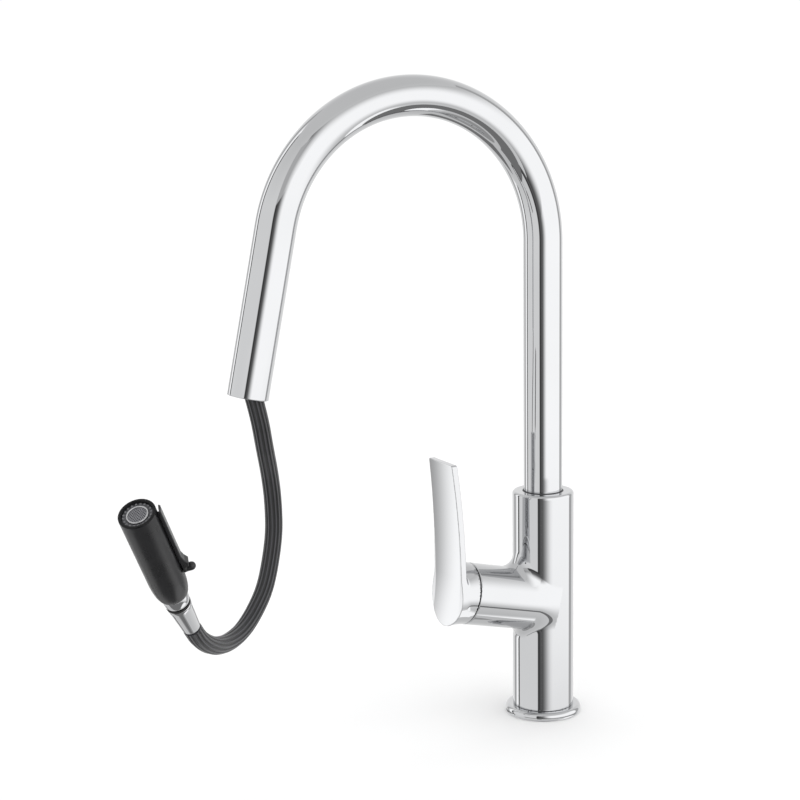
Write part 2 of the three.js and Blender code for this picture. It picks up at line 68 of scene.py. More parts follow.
INNER_END_Z = 31.0
HOSE_ROUTE = [
    (0.8, -230.2, 275.5), (3.6, -226.4, 258.5), (3.2, -222.2, 241), (-2.4, -217.2, 223.5),
    (-14.4, -208.8, 200), (-20.9, -204.3, 179.5), (-21.8, -203.9, 158.5), (-18.8, -208.3, 138.5),
    (-11.8, -216.4, 121.5), (-2.3, -228.5, 109), (9.2, -242.2, 101.5), (21.1, -256.3, 99.5),
    (32.5, -269, 102.1), (41.9, -279.6, 107.8), (49.3, -288.1, 115.4), (55.3, -294.7, 124.5),
]
NUT_AXIS, HEAD_AXIS = (0.4, -0.466, 0.789), (0.402, -0.422, 0.8125)
NUT_START, NUT_TOP, SWIVEL, SWIVEL_BALL_R = 1.1, 25.6, 29.1, 4.6
TOGGLE_TURN = math.radians(-64)
HEAD_R, HEAD_BORE_R, SHELL_START, SHELL_END, DOME_END = 11.8, 9.9, 6.4, 83.2, 24.5
FACE_TOP, FACE_RING_R = SHELL_END - 1.1, 6.95
NOZZLES, NOZZLE_CIRCLE = 20, 8.7
TOGGLE_PIN_Z, TOGGLE_PIN_X = 75.9, 7.2
KNOB_R, KNOB_Z, KNOB_TIP = 2.75, 26.8, 17.4

# ---------------------------------------------------------------- sizes of the finer shapes
FLANGE_SKIRT_R = 25.5  # the flange is hollow below, inside this radius
STUB_FILLET, STUB_BLEND = 9.5, 5.0  # fillet round the stub's foot, and blend where it meets the body flush
BODY_TOP_ROUND, STUB_END_ROUND = 2.0, 0.6
LIP_CLEARANCE = 0.62  # between the spout's tube and the lip of the body round it
BEARING_BOTTOM, BEARING_STANDS = 150, 0.45  # foot of the bearing ring, and how far its collar stands out
RETAINING_HOLE_R = 2.3
CAP_R, CAP_BORE_R, CAP_FOOT = 22.2, 9.8, 65.4  # dome behind the lever, about the pivot
CAP_WELL_R, CAP_WELL_FLOOR = 16.2, 67.2  # sunk inside this radius, where the tilting set screw passes
FACE_CROWN = 0.55  # how far the lever's front face stands out along its middle
FACE_HOLLOW, FOOT_HOLLOW = 0.00075, 3.8  # curve of the hollow front face, and how many times that at its foot
FACE_HALF_W = 18.0
PADDLE_BOTTOM, HUB_BACK = 96, HUB_START + 0.62
HUB_BOSS_R, HUB_BOSS_START, STEM_POCKET_END = 7, 72, 79.9
SET_SCREW_AT, SET_SCREW_HOLE_R = 75, 2.8
COLLAR_R = 8.35
FACE_DEPTH = 2.7
AERATOR_PITCH, AERATOR_HOLE_R = 1.45, 0.52
STRIP_HALF, BOSS_HALF = 3.2, 1.8  # half widths of the toggle's strip and of its boss


# ---------------------------------------------------------------- mesh helpers
def unit(v):
    v = np.asarray(v, float)
    return v / np.linalg.norm(v)


class Place:
    """A local frame: its z along an axis, its x as near as can be to side."""

    def __init__(self, origin=(0, 0, 0), axis=(0, 0, 1), side=(1, 0, 0)):
        z = unit(axis)
        x = np.asarray(side, float)
        x = unit(x - z * (x @ z))
        self.origin = np.asarray(origin, float)
        self.turn = np.array([x, np.cross(z, x), z])

    def out(self, points):
        return self.origin + np.asarray(points, float) @ self.turn

    def into(self, points):
        return (points - self.origin) @ self.turn.T


def turned_about(v, axis, angle):
    return np.array(Matrix.Rotation(angle, 3, Vector(axis)) @ Vector(v))


STAND = Place()
STUB = Place((0, 0, STUB_Z), (0, -math.cos(STUB_TILT), math.sin(STUB_TILT)))
HOSE_END = np.array(HOSE_ROUTE[-1], float)
NUT = Place(HOSE_END, NUT_AXIS)
HEAD_DIR = unit(HEAD_AXIS)
HEAD_UP = unit(np.array([0, 0, 1.0]) - HEAD_DIR * HEAD_DIR[2])
HEAD = Place(HOSE_END + unit(NUT_AXIS) * SWIVEL, HEAD_AXIS, turned_about(HEAD_UP, HEAD_DIR, TOGGLE_TURN))


def piece(name, points, faces, material, body, replaces=(), slot=None, normals=None, uv=None, sharp=32.0):
    """A finished mesh object in metres that rides on a body."""
    mesh = bpy.data.meshes.new(name)
    mesh.from_pydata((np.asarray(points) * MM).tolist(), [], [list(f) for f in faces])
    mesh.update()
    if uv is not None:
        layer = mesh.uv_layers.new(name="UVMap")
        layer.data.foreach_set("uv", np.asarray(uv, np.float32).ravel())
    mesh.shade_smooth()
    if normals is not None:
        mesh.normals_split_custom_set_from_vertices([tuple(n) for n in normals])
    elif sharp:
        mesh.set_sharp_from_angle(angle=math.radians(sharp))
    mesh.materials.append(material)
    obj = bpy.data.objects.new(name, mesh)
    bpy.context.scene.collection.objects.link(obj)
    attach(obj, body)
    if replaces:
        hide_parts(*replaces)
    return obj


def arc(cx, cy, radius, start, end, steps):
    angles = np.radians(np.linspace(start, end, steps + 1))
    return [(cx + radius * math.cos(a), cy + radius * math.sin(a)) for a in angles]


def softened(profile, radius, steps=3, closed=True):
    """A profile with each corner off the axis rounded by at most radius."""
    points = [np.array(p, float) for p in profile]
    n = len(points)
    result = []
    for i, p in enumerate(points):
        before, after = points[i - 1], points[(i + 1) % n]
        if not closed and i in (0, n - 1):
            result.append(tuple(p))
            continue
        a, b = before - p, after - p
        la, lb = np.linalg.norm(a), np.linalg.norm(b)
        turn = math.degrees(math.acos(np.clip(-(a @ b) / (la * lb), -1, 1)))
        cut = min(radius * math.tan(math.radians(turn) / 2), 0.45 * la, 0.45 * lb)
        if p[0] < 1e-6 or turn < 12 or cut < 1e-3:
            result.append(tuple(p))
            continue
        s, e = p + a / la * cut, p + b / lb * cut
        for t in np.linspace(0, 1, steps + 1):
            result.append(tuple((1 - t) ** 2 * s + 2 * t * (1 - t) * p + t * t * e))
    return result


def turned(name, profile, material, body, place=STAND, sides=96, **kind):
    """A turned piece from a profile of (radius, height) that runs from axis to axis or closes on itself."""
    on_axis = profile[0][0] < 1e-6 and profile[-1][0] < 1e-6
    ring = np.arange(sides) / sides * TAU
    points, rows = [], []
    for r, z in profile:
        if r < 1e-6:
            rows.append([len(points)] * sides)
            points.append((0, 0, z))
        else:
            rows.append(list(range(len(points), len(points) + sides)))
            points += [(r * math.cos(a), r * math.sin(a), z) for a in ring]
    faces = []
    pairs = list(zip(rows, rows[1:])) + ([] if on_axis else [(rows[-1], rows[0])])
    for low, high in pairs:
        for i in range(sides):
            j = (i + 1) % sides
            face = list(dict.fromkeys((low[i], low[j], high[j], high[i])))
            if len(face) > 2:
                faces.append(face)
    area = sum(a[0] * b[1] - b[0] * a[1] for a, b in zip(profile, list(profile[1:]) + [profile[0]]))
    if area < 0:
        faces = [f[::-1] for f in faces]
    return piece(name, place.out(points), faces, material, body, **kind)


def carry_frames(line):
    """Tangents and cross directions that turn as little as they can along a line."""
    line = np.asarray(line, float)
    tangent = np.gradient(line, axis=0)
    tangent /= np.linalg.norm(tangent, axis=1)[:, None]
    side = np.cross(tangent[0], (0, 0, 1))
    if np.linalg.norm(side) < 1e-3:
        side = np.array([1.0, 0, 0])
    sides = []
    for t in tangent:
        side = unit(side - t * (side @ t))
        sides.append(side)
    sides = np.array(sides)
    return tangent, sides, np.cross(tangent, sides)


def swept(name, line, radii, material, body, sides=96, bore=None, rib=None, **kind):
    """A tube or bar along a line.

    radii and bore give one radius per point of the line, and rib changes the outer one round the section.
    """
    line = np.asarray(line, float)
    _, x, y = carry_frames(line)
    angle = np.arange(sides) / sides * TAU
    shape = np.cos(angle)[None, :, None] * x[:, None, :] + np.sin(angle)[None, :, None] * y[:, None, :]
    run = np.concatenate([[0], np.cumsum(np.linalg.norm(np.diff(line, axis=0), axis=1))])
    swell = np.zeros((len(line), sides)) if rib is None else rib(angle[None, :], run[:, None])
    outer = line[:, None, :] + shape * (np.asarray(radii)[:, None] + swell)[..., None]
    count = len(line)
    grid = np.arange(count * sides).reshape(count, sides)
    faces, uv = [], []

    def skin(g, flip):
        for i in range(count - 1):
            for j in range(sides):
                k = (j + 1) % sides
                quad = [g[i, j], g[i, k], g[i + 1, k], g[i + 1, j]]
                where = [(j, i), (j + 1, i), (j + 1, i + 1), (j, i + 1)]
                if flip:
                    quad, where = quad[::-1], where[::-1]
                faces.append(quad)
                uv.extend((a / sides, run[b] / 20.0) for a, b in where)

    skin(grid, False)
    points = outer.reshape(-1, 3)
    if bore is None:
        faces.append(list(grid[0][::-1]))
        faces.append(list(grid[-1]))
        uv.extend([(0, 0)] * (2 * sides))
    else:
        inner = line[:, None, :] + shape * np.asarray(bore)[:, None, None]
        points = np.concatenate([points, inner.reshape(-1, 3)])
        inside = grid + count * sides
        skin(inside, True)
        for row, flip in ((0, False), (-1, True)):
            for j in range(sides):
                k = (j + 1) % sides
                quad = [grid[row, k], grid[row, j], inside[row, j], inside[row, k]]
                faces.append(quad[::-1] if flip else quad)
                uv.extend([(0, 0)] * 4)
    return piece(name, points, faces, material, body, uv=uv, **kind)


# ---------------------------------------------------------------- solids from distance functions
def both(a, b, radius):
    """Intersection of two distances with a rounded edge."""
    outside = np.hypot(np.maximum(a + radius, 0), np.maximum(b + radius, 0))
    return np.minimum(-radius, np.maximum(a, b)) + outside


def without(a, b, radius):
    return both(a, -b, radius)


def filleted(a, b, cosine, radius):
    """Union of two distances with a rolling-ball fillet; cosine is of the angle between their normals."""
    c = np.clip(cosine, -0.98, 0.98)
    u, v = radius - a, radius - b
    inside = (u - c * v >= 0) & (v - c * u >= 0)
    reach = np.sqrt(np.maximum(u * u + v * v - 2 * c * u * v, 0) / (1 - c * c))
    return np.where(inside, np.minimum(radius - reach, np.minimum(a, b)), np.minimum(a, b))


def melted(a, b, width):
    """Union of two distances that run smoothly into each other where they are within width."""
    h = np.clip(0.5 + 0.5 * (b - a) / width, 0, 1)
    return b * (1 - h) + a * h - width * h * (1 - h)


def gradient(distance, p, h=0.02):
    g = np.empty_like(p)
    for axis in range(3):
        step = np.zeros(3)
        step[axis] = h
        g[:, axis] = (distance(p + step) - distance(p - step)) / (2 * h)
    return g


def slope(distance, p):
    g = gradient(distance, p)
    return g / np.maximum(np.linalg.norm(g, axis=1)[:, None], 1e-9)


def solid(name, distance, low, high, step, material, body, relax=3, **kind):
    """A closed mesh of the zero surface of a distance function, with normals taken from the function."""
    axes = [np.arange(a - 2.0 * step, b + 2.5 * step, step) for a, b in zip(low, high)]
    shape = [len(a) for a in axes]
    field = np.empty(shape)
    plane = np.stack(np.meshgrid(axes[1], axes[2], indexing="ij"), -1).reshape(-1, 2)
    for i, x in enumerate(axes[0]):
        points = np.column_stack([np.full(len(plane), x), plane])
        field[i] = distance(points).reshape(shape[1:])
    within = field < 0
    corners = sum(
        within[i : shape[0] - 1 + i, j : shape[1] - 1 + j, k : shape[2] - 1 + k].astype(np.int8)
        for i in (0, 1) for j in (0, 1) for k in (0, 1)
    )
    active = (corners > 0) & (corners < 8)
    index = np.full(active.shape, -1)
    index[active] = np.arange(active.sum())
    cells = np.argwhere(active)
    points = np.column_stack([axes[d][cells[:, d]] + step / 2 for d in range(3)])
    faces = []
    for d in range(3):
        e, f = (d + 1) % 3, (d + 2) % 3
        near = [slice(None)] * 3
        far = [slice(None)] * 3
        near[d], far[d] = slice(0, -1), slice(1, None)
        for other in (e, f):
            near[other] = far[other] = slice(1, -1)
        here, there = within[tuple(near)], within[tuple(far)]
        for mask, flip in ((here & ~there, False), (~here & there, True)):
            spot = np.argwhere(mask)
            spot[:, e] += 1
            spot[:, f] += 1
            quad = []
            for de, df in ((-1, -1), (0, -1), (0, 0), (-1, 0)):
                cell = spot.copy()
                cell[:, e] += de
                cell[:, f] += df
                quad.append(index[cell[:, 0], cell[:, 1], cell[:, 2]])
            quad = np.stack(quad[::-1] if flip else quad, 1)
            faces.append(quad)
    faces = np.concatenate(faces)

    def settle(p, rounds):
        """Moves points onto the surface."""
        for _ in range(rounds):
            g = gradient(distance, p)
            reach = np.clip(distance(p), -step, step) / np.maximum((g * g).sum(1), 0.25)
            p = p - g * reach[:, None]
        return p

    starts, ends = faces.ravel(), np.roll(faces, -1, axis=1).ravel()
    degree = np.bincount(starts, minlength=len(points)) + np.bincount(ends, minlength=len(points))

    def middle_of_neighbours(p):
        sums = [
            np.bincount(starts, p[ends, d], len(p)) + np.bincount(ends, p[starts, d], len(p))
            for d in range(3)
        ]
        return np.stack(sums, 1) / degree[:, None]

    points = settle(points, 3)
    for _ in range(relax):
        points = settle(points + 0.5 * (middle_of_neighbours(points) - points), 2)
    return piece(name, points, faces, material, body, normals=slope(distance, points), **kind)


# ---------------------------------------------------------------- materials
def shader(name):
    material = bpy.data.materials.new(name)
    material.use_nodes = True
    nodes = material.node_tree.nodes
    return material, nodes, material.node_tree.links, nodes["Principled BSDF"]


def noise(nodes, links, scale, detail=4.0, rough=0.55, vector=None):
    texture = nodes.new("ShaderNodeTexNoise")
    texture.inputs["Scale"].default_value = scale
    texture.inputs["Detail"].default_value = detail
    texture.inputs["Roughness"].default_value = rough
    if vector is None:
        vector = nodes.new("ShaderNodeTexCoord").outputs["Object"]
    links.new(vector, texture.inputs["Vector"])
    return texture.outputs["Fac"]


def ramp(nodes, links, value, low, high, start=0.35, end=0.65):
    """Maps a 0..1 value between two numbers or two colours."""
    node = nodes.new("ShaderNodeValToRGB")
    for stop, (at, level) in zip(node.color_ramp.elements, ((start, low), (end, high))):
        stop.position = at
        stop.color = (*level, 1) if isinstance(level, tuple) else (level, level, level, 1)
    links.new(value, node.inputs["Fac"])
    return node.outputs["Color"]


def bump(nodes, links, height, strength, distance, bsdf):
    node = nodes.new("ShaderNodeBump")
    node.inputs["Strength"].default_value = strength
    node.inputs["Distance"].default_value = distance
    links.new(height, node.inputs["Height"])
    links.new(node.outputs["Normal"], bsdf.inputs["Normal"])


def metal(name, colour, rough, scale=60.0, streak=None, grain=0.0):
    """Metal whose polish varies a little over the surface; streak stretches the variation along an axis."""
    material, nodes, links, bsdf = shader(name)
    bsdf.inputs["Metallic"].default_value = 1.0
    vector = nodes.new("ShaderNodeTexCoord").outputs["Object"]
    if streak is not None:
        mapping = nodes.new("ShaderNodeMapping")
        mapping.inputs["Scale"].default_value = streak
        links.new(vector, mapping.inputs["Vector"])
        vector = mapping.outputs["Vector"]
    fine = noise(nodes, links, scale, 6.0, 0.6, vector)
    wide = noise(nodes, links, scale / 6, 3.0, 0.5)
    links.new(ramp(nodes, links, fine, rough[0], rough[1]), bsdf.inputs["Roughness"])
    darker = tuple(c * 0.965 for c in colour)
    links.new(ramp(nodes, links, wide, darker, colour), bsdf.inputs["Base Color"])
    if grain:
        bump(nodes, links, fine, grain, 0.0001, bsdf)
    return material


def moulded(name, colour, rough, grain=0.25, scale=2600.0, specular=0.5, coat=0.0):
    """Moulded plastic or rubber with a fine grain and a slightly uneven gloss."""
    material, nodes, links, bsdf = shader(name)
    bsdf.inputs["Specular IOR Level"].default_value = specular
    bsdf.inputs["Coat Weight"].default_value = coat
    bsdf.inputs["Coat Roughness"].default_value = 0.3
    fine = noise(nodes, links, scale, 3.0, 0.6)
    wide = noise(nodes, links, 90.0, 4.0, 0.55)
    low = tuple(c * 0.86 for c in colour)
    high = tuple(min(1.0, c * 1.12) for c in colour)
    links.new(ramp(nodes, links, wide, low, high), bsdf.inputs["Base Color"])
    links.new(ramp(nodes, links, wide, rough * 0.9, min(1.0, rough * 1.1)), bsdf.inputs["Roughness"])
    bump(nodes, links, fine, grain, 0.00006, bsdf)
    return material


def braided(name):
    """Black polyester braid: lengthwise strands tied by fine crossing yarns, with a painted highlight along
    each strand's crest and painted shade in the grooves between strands.
    """
    material, nodes, links, bsdf = shader(name)
    split = nodes.new("ShaderNodeSeparateXYZ")
    links.new(nodes.new("ShaderNodeTexCoord").outputs["UV"], split.inputs[0])

    def maths(operation, *values):
        node = nodes.new("ShaderNodeMath")
        node.operation = operation
        for socket, value in zip(node.inputs, values):
            if isinstance(value, (int, float)):
                socket.default_value = value
            else:
                links.new(value, socket)
        return node.outputs[0]

    def waves(turns, along, operation="SINE"):
        """So many waves round the hose, which wind so many times per 20 mm along it."""
        round_the_hose = maths("MULTIPLY", split.outputs["X"], turns * TAU)
        return maths(operation, maths("MULTIPLY_ADD", split.outputs["Y"], along * TAU, round_the_hose))

    yarn = maths("MULTIPLY_ADD", waves(STRANDS, 14), waves(-STRANDS, 14), 0.5)
    fuzz = noise(nodes, links, 1800.0, 5.0, 0.65)
    mix = maths("MULTIPLY_ADD", fuzz, 0.5, yarn)
    # painted light: a factor that brightens the colour along each strand's crest as a painted highlight and
    # darkens it in the grooves as painted shade
    painted_crest_highlight_groove_shade = ramp(nodes, links, waves(STRANDS, 0, "COSINE"), 0.4, 2.6, 0.35, 1.0)
    weave = ramp(nodes, links, mix, (0.009, 0.009, 0.011), (0.023, 0.023, 0.026), 0.3, 1.1)
    # the weave's own colour times the painted crest highlight and groove shade
    weave_with_painted_light = nodes.new("ShaderNodeVectorMath")
    weave_with_painted_light.operation = "MULTIPLY"
    links.new(weave, weave_with_painted_light.inputs[0])
    links.new(painted_crest_highlight_groove_shade, weave_with_painted_light.inputs[1])
    links.new(weave_with_painted_light.outputs[0], bsdf.inputs["Base Color"])
    links.new(ramp(nodes, links, yarn, 0.46, 0.34, 0.0, 1.0), bsdf.inputs["Roughness"])
    bsdf.inputs["Sheen Weight"].default_value = 0.25
    bsdf.inputs["Sheen Roughness"].default_value = 0.4
    bump(nodes, links, mix, 0.3, 0.0001, bsdf)
    return material


CHROME = metal("polished_chrome", (0.62, 0.625, 0.635), (0.012, 0.035))
STEEL = metal("stainless_steel", (0.56, 0.56, 0.57), (0.16, 0.3), 220.0, (1, 1, 0.05), 0.15)
BRASS = metal("machined_brass", (0.68, 0.5, 0.24), (0.2, 0.36), 160.0, (1, 1, 0.1), 0.2)
BLACK = moulded("black_moulding", (0.011, 0.011, 0.012), 0.29, 0.03)
GLOSS = moulded("black_gloss_rim", (0.003, 0.003, 0.0035), 0.16, 0.03, specular=0.25)
FACE = moulded("face_grey_plastic", (0.06, 0.06, 0.066), 0.42, 0.2)
NUBS = moulded("nozzle_silicone", (0.2, 0.2, 0.21), 0.55, 0.2)
GREY = moulded("grey_plastic", (0.19, 0.19, 0.2), 0.45, 0.2)
MESH = moulded("aerator_grey", (0.2, 0.2, 0.215), 0.4, 0.15)
WHITE = moulded("white_acetal", (0.78, 0.78, 0.75), 0.4, 0.1)
RUBBER = moulded("seal_rubber", (0.012, 0.012, 0.012), 0.6, 0.35, 1400.0)
CERAMIC = moulded("valve_ceramic", (0.83, 0.81, 0.76), 0.16, 0.03, coat=0.3)
BRAID = braided("hose_braid")


# ---------------------------------------------------------------- base and body
def flange():
    waist = 3.0  # height of the rim's widest line
    crown, foot = 2.8, 0.9  # how far in the curves above and below it reach
    upper = [(FLANGE_R - crown * (1 - math.cos(a)), waist + (FLANGE_TOP - waist) * math.sin(a))
             for a in np.linspace(0, TAU / 4, 15)]
    lower = [(FLANGE_R - foot * (1 - math.cos(a)), waist - (waist - GAP) * math.sin(a))
             for a in np.linspace(TAU / 4, 0, 7)]
    ceiling = GASKET_TOP + GAP
    profile = [
        (FLANGE_HOLE_R, ceiling), (FLANGE_SKIRT_R, ceiling), (FLANGE_SKIRT_R, GAP), *lower[:-1], *upper,
        (FLANGE_HOLE_R, FLANGE_TOP),
    ]
    turned("flange_ring", profile, CHROME, "body", sides=160, replaces=["base_flange"], slot="chrome_shell")


def body_distance(p):
    q = STUB.into(p)
    across, run = np.hypot(p[:, 0], p[:, 1]), q[:, 2]
    stub_across = np.hypot(q[:, 0], q[:, 1])
    a = across - BODY_R
    b = stub_across - STUB_R
    n1 = np.column_stack([p[:, 0], p[:, 1], np.zeros(len(p))]) / np.maximum(across, 1e-6)[:, None]
    n2 = (q * [1, 1, 0]) @ STUB.turn / np.maximum(stub_across, 1e-6)[:, None]
    joined = np.minimum(filleted(a, b, (n1 * n2).sum(1), STUB_FILLET), melted(a, b, STUB_BLEND))
    d = np.where(run > 0, joined, a)
    d = both(d, p[:, 2] - BODY_TOP, BODY_TOP_ROUND)
    d = np.maximum(d, FLANGE_TOP + 0.02 - p[:, 2])
    d = both(d, run - STUB_END, STUB_END_ROUND)
    under_lip = np.maximum(p[:, 2] - BODY_TOP + BODY_LIP, SPOUT_BORE_BOTTOM - p[:, 2])
    d = without(d, np.maximum(across - SPOUT_BORE_R, under_lip), 0.3)
    lip = np.maximum(across - TUBE_R - LIP_CLEARANCE, BODY_TOP - BODY_LIP - 1 - p[:, 2])
    d = without(d, lip, 0.25)
    d = without(d, np.maximum(stub_across - STUB_BORE_R, STUB_SEAT - run), 0.4)
    d = np.maximum(d, -np.maximum(across - SUPPLY_CAVITY_R, p[:, 2] - SUPPLY_CAVITY_TOP))
    d = np.maximum(d, HOSE_BORE_R - across)
    hole = np.maximum(np.hypot(p[:, 0], p[:, 2] - RETAINING_SCREW_Z) - RETAINING_HOLE_R, 10 - p[:, 1])
    return without(d, hole, 0.25)


def body():
    solid("faucet_body", body_distance, (-22, -74, FLANGE_TOP), (22, 22, BODY_TOP), 0.9 if FINE else 1.8,
          CHROME, "body", replaces=["body_housing"], slot="chrome_shell")
    bearing_ring()
    stub_cap()


def bearing_ring():
    """The ring that the spout turns in: below the body's lip, with a thin collar up between lip and tube."""
    inner, outer, collar = TUBE_R + 0.15, SPOUT_BORE_R - 0.15, TUBE_R + 0.5
    shoulder, top = BODY_TOP - BODY_LIP - 0.15, BODY_TOP + BEARING_STANDS
    section = [
        (inner, BEARING_BOTTOM), (outer, BEARING_BOTTOM), (outer, shoulder), (collar, shoulder),
        (collar, top), (inner, top),
    ]
    turned("bearing_ring", softened(section, 0.12), FACE, "body", sides=128,
           replaces=["spout_slide_ring"], slot="black_plastic")


def stub_cap():
    """The black dome in the seam between the stub and the lever's hub."""
    low = math.degrees(math.asin((STUB_END + GAP - PIVOT) / CAP_R))
    high = math.degrees(math.asin(8 / CAP_R))
    dome = arc(0, PIVOT, CAP_R, low, high, 6)
    outer = STUB_BORE_R - GAP
    profile = [
        (CAP_BORE_R, CAP_FOOT), (outer, CAP_FOOT), (outer, STUB_END + GAP), *dome, (CAP_WELL_R, dome[-1][1]),
        (CAP_WELL_R, CAP_WELL_FLOOR), (CAP_BORE_R, CAP_WELL_FLOOR),
    ]
    turned("stub_cap", profile, BLACK, "body", STUB, 128, replaces=["cartridge_dome"], slot="black_plastic")


# ---------------------------------------------------------------- handle
def face_y(z, x=0.0):
    hollow = FACE_HOLLOW * (z - HANDLE_FACE_Z) ** 2 * np.where(z < HANDLE_FACE_Z, FOOT_HOLLOW, 1.0)
    return HANDLE_FACE_Y - hollow + FACE_CROWN * (np.minimum(np.abs(x) / FACE_HALF_W, 1.0) ** 2 - 0.5)


def paddle_distance(p):
    x, y, z = p.T
    share = (z - HANDLE_NECK_Z) / (HANDLE_TOP - HANDLE_NECK_Z)
    half = (HANDLE_NECK_W + (HANDLE_TOP_W - HANDLE_NECK_W) * share) / 2
    d = both(np.abs(x) - half, z - HANDLE_TOP, 1.6)
    d = both(d, y - face_y(z) - HANDLE_THICK, 1.0)
    return np.maximum(d, PADDLE_BOTTOM - z)


def handle_distance(p):
    q = STUB.into(p)
    across, run = np.hypot(q[:, 0], q[:, 1]), q[:, 2]
    paddle = paddle_distance(p)
    reach = np.maximum(run - HUB_START, 0)
    hub = np.hypot(q[:, 0], q[:, 1] + HUB_SAG * reach ** 2) - STUB_R - HUB_FLARE * reach
    d = melted(paddle, hub, 3.5)
    d = both(d, face_y(p[:, 2], p[:, 0]) - p[:, 1], 0.45)
    d = both(d, HUB_BACK - run, 0.35)
    hollow = np.maximum(np.hypot(across, run - PIVOT) - HUB_SPHERE_R + 0.2, run - HUB_FLOOR)
    d = np.maximum(d, -hollow)
    boss = np.maximum(np.maximum(across - HUB_BOSS_R, HUB_BOSS_START - run), run - HUB_FLOOR - 1)
    d = np.minimum(d, boss)
    pocket = STEM_HALF + GAP
    in_stem = np.maximum(np.abs(q[:, 0]), np.abs(q[:, 1])) - pocket
    d = np.maximum(d, -np.maximum(in_stem, run - STEM_POCKET_END))
    hole = np.maximum(np.hypot(q[:, 0], run - SET_SCREW_AT) - SET_SCREW_HOLE_R, q[:, 1])
    return without(d, hole, 0.2)


def handle():
    solid("lever_paddle", handle_distance, (-22, -98, 78), (22, -60, HANDLE_TOP), 0.45 if FINE else 1.2,
          CHROME, "handle", replaces=["lever_handle"], slot="chrome_shell")


# ---------------------------------------------------------------- spout
def arch_points(start, end, count):
    return [
        (0, -ARCH_R * (1 - math.cos(a)), ARCH_Z + ARCH_R * math.sin(a))
        for a in np.linspace(start, end, count)
    ]


def spout_line():
    leg = [(0, 0, z) for z in np.linspace(TUBE_BOTTOM, ARCH_Z, 12)[:-1]]
    arch = arch_points(0, ARCH_SWEEP, 121)
    down = np.array([0, -math.sin(ARCH_SWEEP), math.cos(ARCH_SWEEP)])
    end = np.array(arch[-1])
    runs = [*np.linspace(0, TAIL_LENGTH - 0.8, 10)[1:], TAIL_LENGTH - 0.4, TAIL_LENGTH - 0.15, TAIL_LENGTH]
    tail = [end + down * r for r in runs]
    return np.array([*leg, *arch, *tail]), end, down


SPOUT_LINE, ARCH_END, TAIL_DIR = spout_line()
TAIL = Place(ARCH_END, TAIL_DIR)


def spout():
    count = len(SPOUT_LINE)
    outer, inner = np.full(count, TUBE_R), np.full(count, TUBE_BORE_R)
    outer[-2:] = TUBE_R - 0.12, TUBE_R - 0.4
    inner[-2:] = TUBE_BORE_R + 0.08, TUBE_BORE_R + 0.3
    swept("bent_spout", SPOUT_LINE, outer, CHROME, "spout", 128, inner,
          replaces=["spout_tube", "spout_tail"], slot="chrome_shell", sharp=40.0)
    collar_r = TUBE_BORE_R - GAP
    collar = softened([(7.6, 8), (collar_r, 8), (collar_r, 17), (9.6, 17), (7.6, 14)], 0.4)
    turned("dock_ring", collar, BLACK, "spout", TAIL, 72, replaces=["docking_collar"], slot="black_plastic")


# ---------------------------------------------------------------- hose
def catmull_rom(points, per_span):
    """Uniform Catmull-Rom curve through points, with mirrored end points, as the CAD part uses."""
    pts = [np.array(p, float) for p in points]
    pts = [2 * pts[0] - pts[1], *pts, 2 * pts[-1] - pts[-2]]
    line = []
    for a, b, c, d in zip(pts, pts[1:], pts[2:], pts[3:]):
        for t in np.arange(per_span) / per_span:
            v0, v1 = (c - a) * 0.5, (d - b) * 0.5
            line.append(((2 * b - 2 * c + v0 + v1) * t + (-3 * b + 3 * c - 2 * v0 - v1)) * t * t + v0 * t + b)
    line.append(pts[-2])
    return np.array(line)


def even(line, step):
    """The same line with points a fixed distance apart."""
    run = np.concatenate([[0], np.cumsum(np.linalg.norm(np.diff(line, axis=0), axis=1))])
    at = np.linspace(0, run[-1], max(2, round(run[-1] / step)) + 1)
    return np.column_stack([np.interp(at, run, line[:, d]) for d in range(3)]), run[-1]


def strand_rib(angle, run):
    """Lengthwise strands that stand a little proud, each pinched where a crossing yarn ties it."""
    phase = STRANDS * angle
    tie = np.cos(TAU * run / 1.9 + np.pi * np.round(phase / TAU))
    return 0.6 * np.abs(np.cos(phase / 2)) ** 0.85 - 0.42 + 0.03 * tie * (0.5 + 0.5 * np.cos(phase))


def hose():
    line, length = even(catmull_rom(HOSE_ROUTE, 40), 0.6 if FINE else 2.0)
    sides = STRANDS * 12
    tube = swept("spray_hose", line, np.full(len(line), HOSE_R), BRAID, "hose", sides, rib=strand_rib,
                 replaces=["hose_free_run"], slot="hose_braid", sharp=60.0)
    return tube, line, length


def inner_hose():
    lean = unit(np.array(HOSE_ROUTE[0]) - np.array(HOSE_ROUTE[1]))
    start = np.array(HOSE_ROUTE[0]) + lean * 3.2
    outwards = np.cross(TAIL_DIR, (1, 0, 0))
    tail = [ARCH_END + TAIL_DIR * run + outwards * offset for run, offset in ((80, 5.4), (50, 3), (18, 0.5))]
    arch = arch_points(ARCH_SWEEP, 0, 13)
    leg = [(0, 0, z) for z in (300, 240, 180, 120, 60, INNER_END_Z)]
    line, _ = even(catmull_rom([start, *tail, *arch, *leg], 12), 4.0)
    swept("hose_in_spout", line, np.full(len(line), HOSE_R - 0.1), BRAID, "spout", 48,
          replaces=["hose_inner_run"], slot="hose_braid", sharp=60.0)


